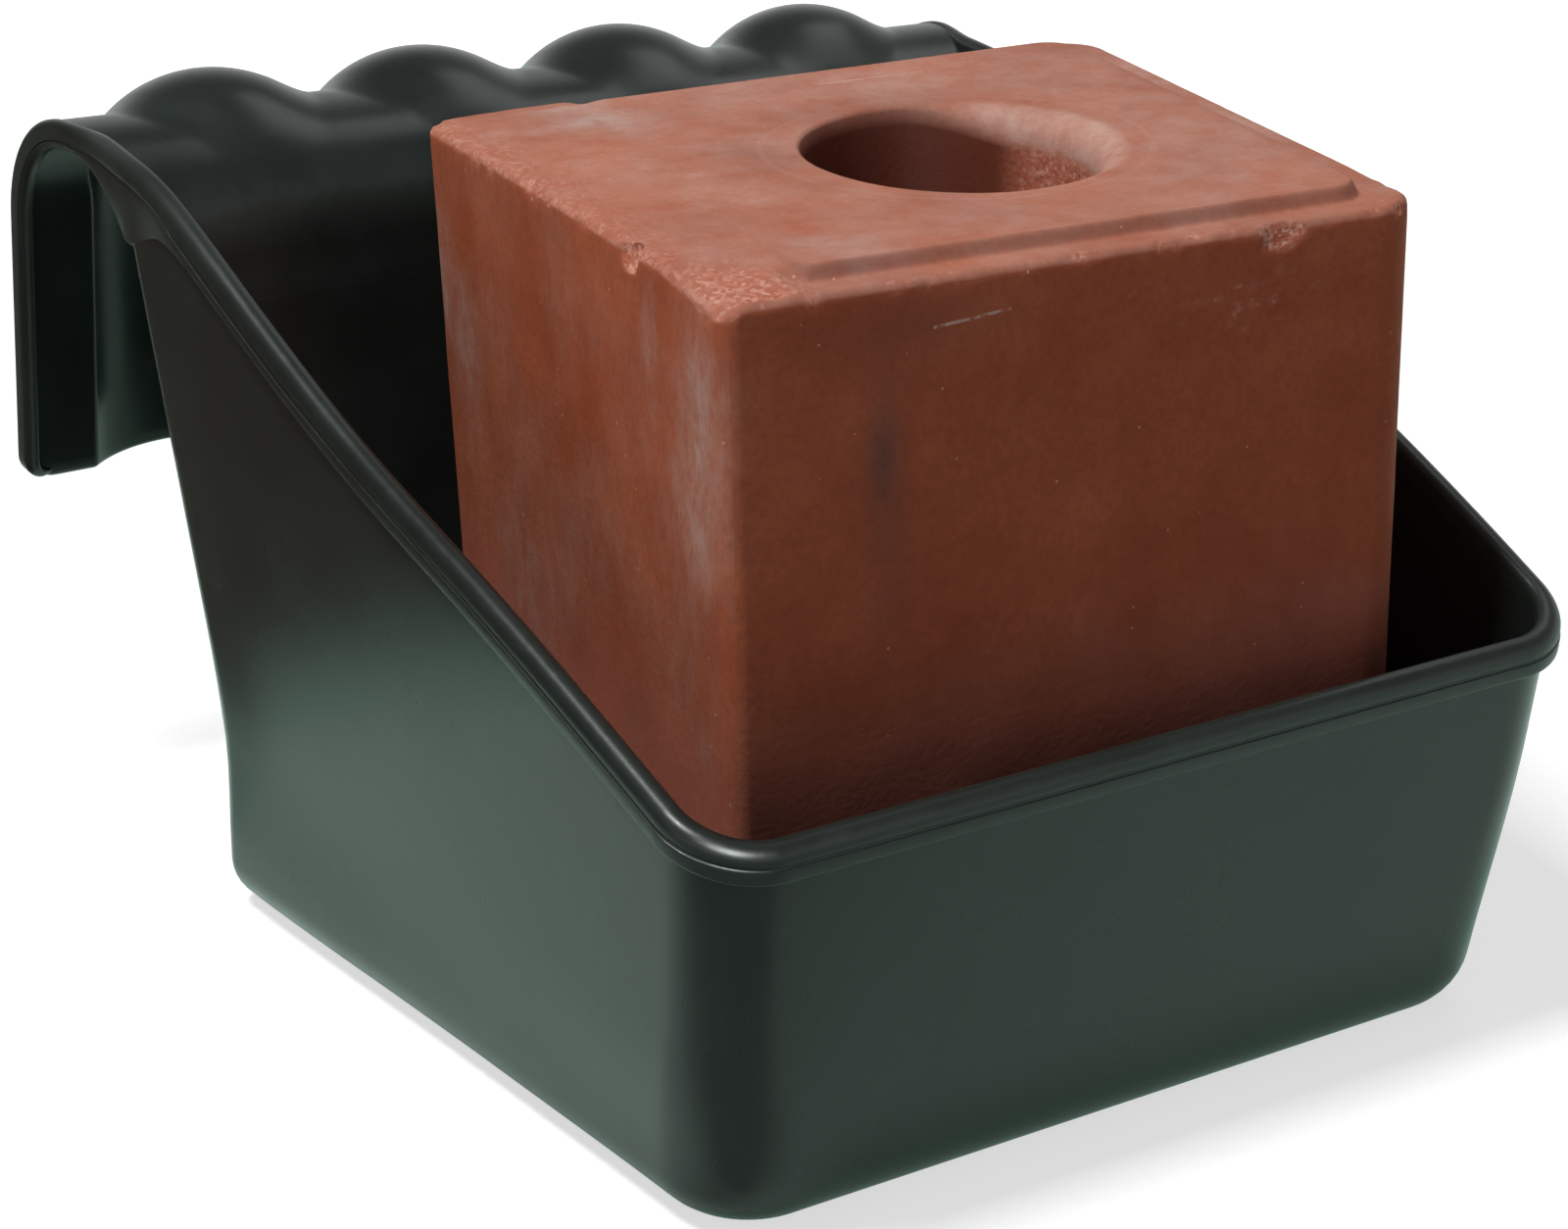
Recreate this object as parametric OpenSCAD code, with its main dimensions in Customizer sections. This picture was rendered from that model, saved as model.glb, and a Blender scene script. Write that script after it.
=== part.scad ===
// Hook-over mineral feeder for livestock: one moulded trough that hangs on a fence
// rail by its corrugated hook, and the pressed mineral block that stands in it.
// Origin: middle of the base, on the surface that the trough stands on.
// +X to the right, the low front faces -Y, the hook is at +Y.

/* [Mineral block] */
// Width of the block
block_w = 216; // [190:1:235]
// Depth of the block
block_d = 206; // [180:1:225]
// Height of the block up to its border
block_h = 247; // [200:1:280]
// Radius of the block's upright edges
block_r = 15; // [9:1:24]
// Radius of the sharper upright edge at the front left
edge_r = 6; // [4:1:8]
// Bevel along the block's upper edges
block_bevel = 2.5; // [1:0.5:4]
// Bevel along the block's lower edges
block_foot_bevel = 8; // [6:0.5:12]
// Turn of the block in the trough, in degrees
block_turn = -5; // [-8:0.5:8]
// Place of the block's middle to the right of the trough's middle
block_x = 3.7; // [-6:0.1:6]
// Height of the raised panel on the block's top
panel_h = 4; // [2:0.5:6]
// Width of the border on the panel's left, worn to a slope
border_left = 29; // [20:0.5:34]
// Width of the border on the panel's right
border_right = 14; // [10:0.5:20]
// Width of the border in front of the panel
border_front = 11.5; // [10:0.5:20]
// Width of the border behind the panel
border_back = 13; // [10:0.5:20]
// How far the hole sits to the right of the block's middle
hole_x = 11.5; // [0:0.5:14]
// How far the hole sits ahead of the block's middle
hole_ahead = 8.5; // [0:0.5:14]
// Diameter of the flared mouth of the hole
hole_mouth_d = 88; // [86:1:100]
// Diameter of the hole below the flare
hole_d = 82; // [70:1:84]
// Diameter of the hole's bottom
hole_foot_d = 62; // [40:1:66]
// Depth of the flare
hole_flare_h = 6; // [4:1:14]
// Depth of the hole
hole_depth = 92; // [60:1:120]

/* [Trough] */
// Room beside the block at the front corners of the base
front_side_room = 20; // [17:0.5:34]
// Room beside the block at the back corners of the base
back_side_room = 33.5; // [25:0.5:45]
// Room ahead of the block, at the base
front_room = 6.5; // [5.5:0.5:20]
// Room behind the block, at the base
back_room = 40.5; // [20:0.5:60]
// Thickness of the moulded wall
wall = 4; // [3:0.25:5]
// Radius that rounds the walls into each other and into the floor
corner_r = 19; // [15:1:22]
// Radius of the upright front corners at the top of the trough
mouth_r = 26; // [20:1:34]
// Radius of the upright back corners at the top of the trough
back_r = 9; // [6:0.5:14]
// Lean of the side walls, in degrees
side_draft = 3; // [1:0.5:5]
// Lean of the front wall, in degrees
front_draft = 7.8; // [4:0.2:11]
// Lean of the back wall, in degrees
back_draft = 7; // [3:0.5:9]
// Height of the front rim above the base
front_h = 126; // [100:1:150]

/* [Rim] */
// Height of the bead along the mouth
bead_h = 4.2; // [3:0.2:6]
// How far the bead stands out from the wall
bead_proud = 3.2; // [2:0.2:4]
// Height of the lip under the bead
lip_h = 5.6; // [4:0.2:9]
// How far the lip stands out from the wall
lip_proud = 4.6; // [4:0.2:7]
// Depth of the fine line between bead and lip
rim_line_d = 1.2; // [0.6:0.2:2]
// Height of that line
rim_line_h = 0.8; // [0.4:0.2:1.6]
// Half length of the bend that turns the rising rim level at the crest
rim_bend = 58; // [30:1:80]

/* [Hook] */
// Height of the hook's crest above the base
crest_h = 240; // [220:1:260]
// Clear width of the hook where its arch begins
hook_gap = 78; // [66:1:92]
// How far the rear skirt hangs below the crest
skirt_drop = 129; // [100:1:150]
// Lean of the skirt away from the back wall, in degrees
skirt_lean = 8; // [4:1:12]
// Radius of the skirt's lower corners
skirt_corner_r = 9; // [4:1:14]
// How far the turned edge at each end of the hook reaches in
edge_d = 9; // [6:0.5:12]
// How far the closed end of the hook reaches down the back wall
cheek_drop = 28; // [22:1:34]
// Number of half-round ribs across the hook
rib_count = 4; // [2:1:4]
// Spacing of the ribs
rib_pitch = 73.8; // [64:0.2:78]
// Height of the ribs above the crest
rib_rise = 10; // [6:0.5:12]
// How far the ribs are set up and back, so that they fade out at the front
rib_setback = 7.5; // [6:0.5:9]

/* [Hidden] */

// One overrun for all cuts, and the gap under the block
over = 1;
rest_gap = 0.2;
round_fn = 32;
arc_fn = 96;
rim_steps = 24;

// Block: the room that it takes up when turned, and where it stands
block_span_x = block_w * cos(block_turn) + block_d * abs(sin(block_turn));
block_span_y = block_d * cos(block_turn) + block_w * abs(sin(block_turn));
block_z = wall + rest_gap;
block_top = block_h + panel_h;
panel_w = block_w - border_left - border_right;
panel_d = block_d - border_front - border_back;
panel_x = (border_left - border_right) / 2;
panel_y = (border_front - border_back) / 2;

// Trough: the base round the block, and the slope of its sides in plan
base_front_w = block_span_x + 2 * front_side_room;
base_back_w = block_span_x + 2 * back_side_room;
base_d = front_room + block_span_y + back_room;
block_y = front_room + block_span_y / 2 - base_d / 2;
plan_slope = (base_back_w - base_front_w) / 2 / base_d;
mid_w = (base_front_w + base_back_w) / 2;
form_h = crest_h + wall;

// Hook: arch radius and centre, with the arch tangent to the back wall's inside
arch_r = hook_gap / 2 + wall;
arch_z = crest_h - arch_r;
arch_y = base_d / 2 + arch_z * tan(back_draft) + (arch_r - wall) / cos(back_draft);
skirt_z = crest_h - skirt_drop;
rib_r = arch_r + rib_rise - rib_setback;
rib_y = arch_y + rib_setback;
rib_z = arch_z + rib_setback;

// Rim in the side view: where it starts, where it is aimed at the crest, and its slope
rim_front_y = -base_d / 2 - front_h * tan(front_draft);
rim_turn_y = arch_y - rim_bend;
rim_slope = (crest_h - front_h) / (rim_turn_y - rim_front_y);

// Ends of the hook: flush with the bead, with a round edge down to the back wall
end_x = wall_x(rim_turn_y, rim_at(rim_turn_y)) + bead_proud;
cheek_t = wall + bead_proud;
cheek_z = crest_h - cheek_drop;
cheek_y = base_d / 2 + cheek_z * tan(back_draft);
cheek_rise = cheek_drop - edge_d;
cheek_r = (pow(arch_y - cheek_y, 2) + pow(cheek_rise, 2)) / (2 * cheek_rise);
hook_back_y = arch_y + 2 * arch_r + rib_rise;
hook_top = crest_h + 2 * rib_rise;
cut_w = 2 * base_back_w;

// Half width of the trough at a place and height
function wall_x(y, z) = mid_w / 2 + y * plan_slope + z * tan(side_draft);

// Height of the rim: a straight rise that turns level at the hook's crest by a parabola
function rim_at(y) =
    let (u = y - rim_turn_y)
    u <= -rim_bend ? front_h + (y - rim_front_y) * rim_slope
    : u >= rim_bend ? crest_h
    : crest_h - rim_slope * pow(rim_bend - u, 2) / (4 * rim_bend);

function rim_line(y0, y1, drop) =
    [for (i = [0 : rim_steps]) let (y = y0 + (y1 - y0) * i / rim_steps) [y, rim_at(y) - drop]];

// Carries a side view, drawn as (y, z), across the width
module across(w) {
    rotate([90, 0, 90])
        translate([0, 0, -w / 2])
            linear_extrude(w) children();
}

// Ball whose poles and equator lie exactly on its radius
module ball(r) {
    rotate_extrude($fn = round_fn)
        intersection() {
            circle(r, $fn = round_fn);
            translate([0, -r]) square([r, 2 * r]);
        }
}

// The trough's drafted form, grown outwards by a given amount
module tub_form(grow) {
    hull() {
        for (sx = [-1, 1], sy = [-1, 1]) {
            draft = sy < 0 ? front_draft : back_draft;
            base_w = sy < 0 ? base_front_w : base_back_w;
            top_r = sy < 0 ? mouth_r : back_r;
            foot_x = base_w / 2 - corner_r * tan(45 - side_draft / 2);
            foot_y = base_d / 2 - corner_r * tan(45 - draft / 2);
            top_y = sy * (base_d / 2 + form_h * tan(draft));
            top_x = wall_x(top_y, form_h) - top_r;
            translate([sx * foot_x, sy * foot_y, corner_r]) ball(corner_r + grow);
            translate([sx * top_x, top_y - sy * top_r, form_h - over])
                cylinder(h = over, r = top_r + grow, $fn = round_fn);
        }
    }
}

// Side view of everything under the rim
module under_rim_2d() {
    y0 = rim_front_y - 2 * lip_proud;
    y1 = arch_y + arch_r;
    polygon(concat(rim_line(y0, y1, 0), [[y1, -over], [y0, -over]]));
}

// Band along the rim, from the front up to the hook's ends
module rim_band(top, depth, proud) {
    y0 = rim_front_y - 2 * lip_proud;
    y1 = rim_turn_y + wall;
    intersection() {
        tub_form(proud);
        across(cut_w) polygon(concat(rim_line(y0, y1, top), rim_line(y1, y0, top + depth)));
    }
}

// Side view of the arch with its two legs, as a filled saddle of a given radius
module saddle_2d(r) {
    front = [arch_y - r * cos(back_draft), arch_z + r * sin(back_draft)];
    rear = [arch_y + r * cos(skirt_lean), arch_z + r * sin(skirt_lean)];
    low = skirt_z - skirt_corner_r;
    front_low = [front[0] - (front[1] - low) * tan(back_draft), low];
    rear_low = [rear[0] + (rear[1] - low) * tan(skirt_lean), low];
    polygon([front, front_low, rear_low, rear]);
    intersection() {
        translate([arch_y, arch_z]) circle(r, $fn = arc_fn);
        polygon([front, rear, rear + [0, 2 * r], front + [0, 2 * r]]);
    }
}

// Ribs: a half-round bulge over the crest that runs straight down the skirt
module ribs(r) {
    for (i = [0 : rib_count - 1])
        translate([(i - (rib_count - 1) / 2) * rib_pitch, rib_y, rib_z])
            rotate([skirt_lean, 0, 0])
                rotate_extrude($fn = arc_fn) {
                    intersection() {
                        circle(r, $fn = arc_fn);
                        square(r);
                    }
                    translate([0, -2 * skirt_drop]) square([r, 2 * skirt_drop]);
                }
}

// Plan of the hook, drawn in by a given amount at both ends
module hook_plan(inset) {
    w = 2 * (end_x - inset);
    translate([-w / 2, rim_turn_y, 0]) cube([w, hook_back_y - rim_turn_y, hook_top]);
}

// Side view of the room that the hook fills, down to a given height at the back wall
module hook_side_2d(leg_z) {
    polygon([
        [rim_turn_y, leg_z], [arch_y, leg_z], [arch_y, skirt_z],
        [hook_back_y, skirt_z], [hook_back_y, hook_top], [rim_turn_y, hook_top]
    ]);
}

// Back view of the skirt, with its rounded lower corners
module skirt_back_2d() {
    inset = end_x - skirt_corner_r;
    for (s = [-1, 1])
        translate([s * inset, skirt_z + skirt_corner_r]) circle(skirt_corner_r, $fn = arc_fn);
    translate([-inset, skirt_z]) square([2 * inset, 2 * skirt_corner_r]);
    translate([-end_x, skirt_z + skirt_corner_r]) square([2 * end_x, hook_top - skirt_z]);
}

// The room that the hook fills: it laps the back wall between the trough's corners
module hook_room() {
    intersection() {
        union() {
            intersection() {
                hook_plan(0);
                across(cut_w) hook_side_2d(cheek_z);
            }
            intersection() {
                hook_plan(cheek_t + back_r);
                across(cut_w) hook_side_2d(arch_z);
            }
        }
        translate([0, hook_back_y, 0])
            rotate([90, 0, 0])
                linear_extrude(hook_back_y) skirt_back_2d();
    }
}

// Both end walls of the hook, of a given thickness, cut to a side view
module hook_ends(t) {
    intersection() {
        for (s = [-1, 1])
            translate([s * (end_x - t / 2) - t / 2, rim_turn_y, 0])
                cube([t, hook_back_y - rim_turn_y, hook_top]);
        across(cut_w) children();
    }
}

// Side view of the closed end, from the rim back to the top of the arch
module cheek_2d() {
    rim_low = rim_at(rim_turn_y) - bead_h - rim_line_h - lip_h;
    difference() {
        polygon(concat(rim_line(rim_turn_y, arch_y, 0),
            [[arch_y, cheek_z], [cheek_y, cheek_z], [rim_turn_y, rim_low]]));
        translate([arch_y, crest_h - edge_d - cheek_r]) circle(cheek_r, $fn = arc_fn);
    }
}

// Side view of the turned edge, from the top of the arch down the skirt
module edge_2d() {
    difference() {
        saddle_2d(arch_r);
        saddle_2d(arch_r - edge_d);
        square([arch_y, hook_top]);
    }
}

module hook() {
    intersection() {
        hook_room();
        union() {
            difference() {
                union() {
                    across(cut_w) saddle_2d(arch_r);
                    ribs(rib_r);
                }
                across(cut_w + 2 * over) saddle_2d(arch_r - wall);
                ribs(rib_r - wall);
            }
            hook_ends(wall) edge_2d();
        }
    }
    hook_ends(cheek_t) cheek_2d();
}

// Open space over the hook's front slope, which the back wall must not fill
module over_hook() {
    across(cut_w)
        difference() {
            translate([arch_y - arch_r, arch_z]) square([4 * arch_r, 2 * arch_r]);
            saddle_2d(arch_r);
        }
}

// One moulded piece: trough, rolled rim and hook
module hook_trough() color([0.08, 0.11, 0.10]) {
    difference() {
        union() {
            intersection() {
                tub_form(0);
                across(cut_w) under_rim_2d();
            }
            rim_band(0, bead_h, bead_proud);
            rim_band(bead_h, rim_line_h, bead_proud - rim_line_d);
            rim_band(bead_h + rim_line_h, lip_h, lip_proud);
        }
        tub_form(-wall);
        over_hook();
    }
    hook();
}

// Plan of the block, or of the panel on it, with one sharper corner
module block_plan_2d(w, d, r) {
    for (sx = [-1, 1], sy = [-1, 1])
        translate([sx * (w / 2 - r), sy * (d / 2 - r)]) circle(r, $fn = arc_fn);
    square([w - 2 * r, d], center = true);
    square([w, d - 2 * r], center = true);
    translate([edge_r - w / 2, edge_r - d / 2]) circle(edge_r, $fn = arc_fn);
    translate([edge_r - w / 2, -d / 2]) square(r);
    translate([-w / 2, edge_r - d / 2]) square(r);
}

// Outline of the block from one side, bevelled along its upper and lower edges
module block_side_2d(w) {
    e = w / 2;
    polygon([
        [-e + block_foot_bevel, 0], [e - block_foot_bevel, 0], [e, block_foot_bevel],
        [e, block_h - block_bevel], [e - block_bevel, block_h],
        [-e + block_bevel, block_h], [-e, block_h - block_bevel], [-e, block_foot_bevel]
    ]);
}

// Half profile of the hole, from its bottom up through the flared mouth
module hole_2d() {
    foot = block_top - hole_depth;
    flare = block_top - hole_flare_h;
    polygon([
        [0, foot], [hole_foot_d / 2, foot], [hole_d / 2, flare],
        [hole_mouth_d / 2, block_top], [hole_mouth_d / 2, block_top + over], [0, block_top + over]
    ]);
}

// Worn border that slopes from the panel's left edge down to the block's edge
module worn_border_2d() {
    edge = panel_x - panel_w / 2;
    polygon([
        [block_bevel - block_w / 2, block_h - panel_h], [edge + block_r, block_h - panel_h],
        [edge + block_r, block_top], [edge, block_top], [block_bevel - block_w / 2, block_h]
    ]);
}

// Pressed mineral block with its raised panel and the hole in its top
module mineral_block() color([0.50, 0.22, 0.17]) {
    translate([block_x, block_y, block_z])
        rotate([0, 0, block_turn])
            difference() {
                union() {
                    intersection() {
                        linear_extrude(block_h) block_plan_2d(block_w, block_d, block_r);
                        across(2 * block_w) block_side_2d(block_d);
                        rotate([0, 0, 90]) across(2 * block_d) block_side_2d(block_w);
                    }
                    translate([panel_x, panel_y, block_h - panel_h])
                        linear_extrude(2 * panel_h) block_plan_2d(panel_w, panel_d, block_r);
                    translate([0, panel_y + panel_d / 2, 0])
                        rotate([90, 0, 0]) linear_extrude(panel_d) worn_border_2d();
                }
                translate([hole_x, -hole_ahead, 0]) rotate_extrude($fn = arc_fn) hole_2d();
            }
}

hook_trough();
mineral_block();
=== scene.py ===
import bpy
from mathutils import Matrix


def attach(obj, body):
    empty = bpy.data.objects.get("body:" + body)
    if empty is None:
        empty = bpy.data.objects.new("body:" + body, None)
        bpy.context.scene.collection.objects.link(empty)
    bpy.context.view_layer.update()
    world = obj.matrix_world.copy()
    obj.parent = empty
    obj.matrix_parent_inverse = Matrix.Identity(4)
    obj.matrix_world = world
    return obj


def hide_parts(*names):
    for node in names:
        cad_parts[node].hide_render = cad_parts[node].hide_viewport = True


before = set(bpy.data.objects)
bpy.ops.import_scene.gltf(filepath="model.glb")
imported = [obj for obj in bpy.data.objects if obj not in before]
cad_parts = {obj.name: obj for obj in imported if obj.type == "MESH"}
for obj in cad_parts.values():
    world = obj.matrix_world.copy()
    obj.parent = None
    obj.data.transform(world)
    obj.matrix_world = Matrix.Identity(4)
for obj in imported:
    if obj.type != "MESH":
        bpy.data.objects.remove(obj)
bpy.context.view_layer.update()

import math
import bmesh
import bpy
import numpy as np
from mathutils import Matrix

scene = bpy.context.scene
scene.view_settings.view_transform = "Standard"
print("frame loaded:", ", ".join(sorted(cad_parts)))


# Shared shape helpers, all lengths in millimetres

def smoothStep(low, high, value):
    # 3t^2 - 2t^3 of the share of the way from low to high
    t = np.clip((value - low) / (high - low), 0.0, 1.0)
    return t * t * (3.0 - 2.0 * t)


def shares(count):
    # even steps from none up to one
    return np.linspace(0.0, 1.0, count + 1)[1:]


def angles(last, count):
    # even steps from zero to the last one, given in degrees
    return np.radians(np.linspace(0.0, last, count))


def heading(angle):
    return np.array([math.cos(angle), math.sin(angle)])


def softMax(a, b, reach):
    # the larger of two heights, with a round fillet where they come within reach of each other
    gap = np.maximum(reach - np.abs(a - b), 0.0) / reach
    return np.maximum(a, b) + gap * gap * reach / 4.0


def latticeValue(i, j, k, seed):
    # whole-number hash of a lattice point, as a share of one
    h = (i * 374761393 + j * 668265263 + k * 1442695041 + seed * 974634777) & 0xffffffff
    h = ((h ^ (h >> 13)) * 1274126177) & 0xffffffff
    return ((h ^ (h >> 16)) & 0xffff) / 65535.0


def valueNoise(points, size, seed):
    # lattice values a size apart, eased between the eight corners round each point, from -1 to 1
    q = points / size
    base = np.floor(q).astype(np.int64)
    f = q - base
    w = f * f * (3.0 - 2.0 * f)
    total = np.zeros(points.shape[:-1])
    for corner in range(8):
        bits = np.array([(corner >> axis) & 1 for axis in range(3)])
        weight = np.prod(np.where(bits, w, 1.0 - w), axis=-1)
        i, j, k = np.moveaxis(base + bits, -1, 0)
        total += weight * latticeValue(i, j, k, seed)
    return total * 2.0 - 1.0


def gridFaces(rows, cols, closeRows, closeCols):
    # quads between neighbouring rows and columns, joined round where a direction is closed
    r = np.arange(rows if closeRows else rows - 1)[:, None]
    c = np.arange(cols if closeCols else cols - 1)[None, :]
    r2, c2 = (r + 1) % rows, (c + 1) % cols
    return np.stack([r * cols + c, r * cols + c2, r2 * cols + c2, r2 * cols + c], -1).reshape(-1, 4)


def makePiece(name, shells, values, weld, sharpAngle):
    # each shell is a grid (rows, cols, 3) with its two closing flags;
    # values are per-point numbers for the finish
    faces, points, start = [], [], 0
    for grid, closeRows, closeCols in shells:
        rows, cols = grid.shape[:2]
        faces.append(gridFaces(rows, cols, closeRows, closeCols) + start)
        points.append(grid.reshape(-1, 3))
        start += rows * cols
    faces, points = np.concatenate(faces), np.concatenate(points)
    mesh = bpy.data.meshes.new(name)
    mesh.vertices.add(len(points))
    mesh.vertices.foreach_set("co", (points * 0.001).astype(np.float32).ravel())
    mesh.loops.add(faces.size)
    mesh.loops.foreach_set("vertex_index", faces.astype(np.int32).ravel())
    mesh.polygons.add(len(faces))
    mesh.polygons.foreach_set("loop_start", np.arange(0, faces.size, 4, dtype=np.int32))
    mesh.update(calc_edges=True)
    for key, numbers in values.items():
        kind, field = ("FLOAT_VECTOR", "vector") if numbers.ndim == 3 else ("FLOAT", "value")
        mesh.attributes.new(key, kind, "POINT").data.foreach_set(field, numbers.astype(np.float32).ravel())
    # poles and seams are merged, then the faces are turned outwards
    work = bmesh.new()
    work.from_mesh(mesh)
    bmesh.ops.remove_doubles(work, verts=work.verts, dist=weld * 0.001)
    bmesh.ops.dissolve_degenerate(work, edges=work.edges, dist=1e-6)
    bmesh.ops.recalc_face_normals(work, faces=work.faces)
    work.to_mesh(mesh)
    work.free()
    mesh.shade_smooth()
    mesh.set_sharp_from_angle(angle=math.radians(sharpAngle))
    piece = bpy.data.objects.new(name, mesh)
    scene.collection.objects.link(piece)
    print("made", name, "with", len(mesh.polygons), "faces")
    return piece


def linear(code):
    # sRGB hex to linear red, green, blue and full alpha
    channels = [int(code[i:i + 2], 16) / 255.0 for i in (1, 3, 5)]
    return tuple(c / 12.92 if c <= 0.04045 else ((c + 0.055) / 1.055) ** 2.4 for c in channels) + (1.0,)


def addNode(tree, kind, inputs=None, **settings):
    # one node with its settings; an input is a plain value, a hex colour or another node's output
    node = tree.nodes.new("ShaderNode" + kind)
    for key, value in settings.items():
        setattr(node, key, value)
    for key, value in (inputs or {}).items():
        if isinstance(value, bpy.types.NodeSocket):
            tree.links.new(value, node.inputs[key])
        else:
            node.inputs[key].default_value = linear(value) if isinstance(value, str) else value
    return node


def calculate(tree, operation, *numbers):
    return addNode(tree, "Math", dict(enumerate(numbers)), operation=operation).outputs["Value"]


def product(tree, a, b):
    return calculate(tree, "MULTIPLY", a, b)


def calculateVector(tree, operation, output, *vectors):
    return addNode(tree, "VectorMath", dict(enumerate(vectors)), operation=operation).outputs[output]


def vectorParts(tree, vector):
    return addNode(tree, "SeparateXYZ", {"Vector": vector}).outputs


def remap(tree, value, limits, results, ease="LINEAR"):
    # carries a value between two limits over to two results, and holds it there
    inputs = {"Value": value, "From Min": limits[0], "From Max": limits[1], "To Min": results[0], "To Max": results[1]}
    return addNode(tree, "MapRange", inputs, interpolation_type=ease).outputs["Result"]


def blend(tree, share, first, second):
    # from the first colour to the second
    inputs = {"Factor": share, "A": first, "B": second}
    return addNode(tree, "Mix", inputs, data_type="RGBA").outputs["Result"]


def toneRamp(tree, share, *stops):
    # each stop is a share and the colour there
    ramp = addNode(tree, "ValToRGB", {"Fac": share})
    for element, (position, code) in zip(ramp.color_ramp.elements, stops):
        element.position, element.color = position, linear(code)
    return ramp.outputs["Color"]


def noise(tree, place, size, detail, roughness=0.5):
    # clouds whose largest features are a size across, in metres
    inputs = {"Vector": place, "Scale": 1 / size, "Detail": detail, "Roughness": roughness}
    return addNode(tree, "TexNoise", inputs).outputs["Fac"]


def cells(tree, place, size):
    # crumbs about a size apart, in metres
    return addNode(tree, "TexVoronoi", {"Vector": place, "Scale": 1 / size, "Randomness": 1.0}).outputs


def attribute(tree, key, output="Fac"):
    return addNode(tree, "Attribute", attribute_name=key).outputs[output]


def newMaterial(name):
    material = bpy.data.materials.new(name)
    material.use_nodes = True
    tree = material.node_tree
    tree.nodes.clear()
    return material, tree, addNode(tree, "TexCoord").outputs["Object"]


def closeMaterial(material, surface):
    addNode(material.node_tree, "OutputMaterial", {"Surface": surface})
    return material


# Trough: a drafted tub, a ribbed hook sheet and the rim that runs round both

tub = {
    "depth": 271.04, "width": 286.63, "planSlope": 0.0498,   # at the floor, front to back and side to side
    "wall": 4.0, "footR": 19.0, "mouthR": 26.0, "backR": 9.0,
    # foot corners: rounder at the front, sharper at the back, both gone at a height
    "frontFootMore": 11.0, "backFootLess": 8.0, "footFade": 90.0,
    "sideDraft": 3.0, "frontDraft": 7.8, "backDraft": 7.0, "formTop": 244.0,
    "rimFrontY": -152.8, "rimFrontZ": 126.0, "crest": 240.0, "rimTurn": 141.0, "rimBend": 58.0,
    # top of the wall: under the hook, below the rim's own top, and its edge's rounding
    "backTop": 198.0, "underRim": 3.0, "edgeR": 1.2,
    # of the sloped rim: height, middle and half width
    "sag": (4.9, 22.0, 62.0), "swell": (4.6, 140.0, 38.0),
    # of the hook: lower on the right and wider to the back per millimetre, and set down
    "twist": 0.0255, "flare": 0.00045, "drop": 2.0,
    # how far the right side stands out at the front and in at its middle, and the left foot edge in and out
    "rightTurn": (2.6, 1.6), "leftFoot": (2.8, 4.5),
    "sideColumns": 70, "arcColumns": 16, "floorShares": (0.0, 0.45, 0.8), "wallRows": 22, "passes": 12,
}
hook = {
    "archR": 43.0, "archY": 199.0, "archZ": 197.0, "lean": 8.0, "foot": 111.0, "shoulder": 0.07,
    "ribs": 4, "ribPitch": 73.8, "ribR": 45.5, "ribShift": 7.5, "ribFillet": 5.0, "skirtFillet": 0.6,
    "endX": 162.55, "legX": 149.0, "cornerR": 9.0, "tuck": 3.5, "archOver": 0.05, "endOver": 0.6,
    # rows down the back wall: distance from the arch and depth under its face; the last one dives into the wall
    "leg": ((17.0, 1.2), (16.0, 0.2), (11.0, 0.0), (7.0, 0.0), (3.0, 0.0)), "legDive": 2.4,
    "columns": 300, "archRows": 64, "skirtRows": 24,
}
rim = {
    "beadProud": 3.2, "beadHeight": 5.2, "lipProud": 3.5, "lipFoot": 10.6, "grooveDepth": 0.28,
    "edgeDepth": 8.6, "cheekY": 157.5, "cheekZ": 211.5, "cheekMiddle": (197.0, 184.0), "cheekR": 48.0,
}


def rimSwell(y):
    # a bell curve that ends where the hook's crest begins
    up, upY, upW = tub["swell"]
    return up * np.exp(-((y - upY) / upW) ** 2) * smoothStep(199.0, 176.0, y)


def rimHeight(y):
    # straight rise from the front rim, a parabola either side of the turn, then level with the crest;
    # two bell curves bow it
    slope = (tub["crest"] - tub["rimFrontZ"]) / (tub["rimTurn"] - tub["rimFrontY"])
    turn, bend = tub["rimTurn"], tub["rimBend"]
    line = tub["rimFrontZ"] + slope * (y - tub["rimFrontY"])
    ease = tub["crest"] - slope * (turn + bend - y) ** 2 / (4.0 * bend)
    low, lowY, lowW = tub["sag"]
    bow = rimSwell(y) - low * np.exp(-((y - lowY) / lowW) ** 2)
    return bow + np.where(y < turn - bend, line, np.where(y < turn + bend, ease, tub["crest"]))


def wallOffset(z, draft, grow):
    # a fillet circle tangent to the floor and to the drafted wall, then the straight wall
    r, tilt = tub["footR"], math.radians(draft)
    fillet = -r * math.tan(math.pi / 4 - tilt / 2) + np.sqrt(np.maximum((r + grow) ** 2 - (r - z) ** 2, 0.0))
    straight = z * math.tan(tilt) + grow / math.cos(tilt)
    return np.where(z < r - (r + grow) * math.sin(tilt), fillet, straight)


def cornerRadius(z, topRadius, grow):
    # the foot ball's own circle, then an even change to the radius at the top
    r = tub["footR"]
    ball = np.sqrt(np.maximum((r + grow) ** 2 - (r - z) ** 2, 0.0))
    cone = r + (topRadius - r) * np.clip((z - r) / (tub["formTop"] - r), 0.0, 1.0) + grow
    return np.where(z < r, ball, np.maximum(cone, 1.0))


def wallAt(y, z):
    # half width of the tub's outside at a place along its side and a height
    return tub["width"] / 2 + tub["planSlope"] * y + z * math.tan(math.radians(tub["sideDraft"]))


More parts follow.
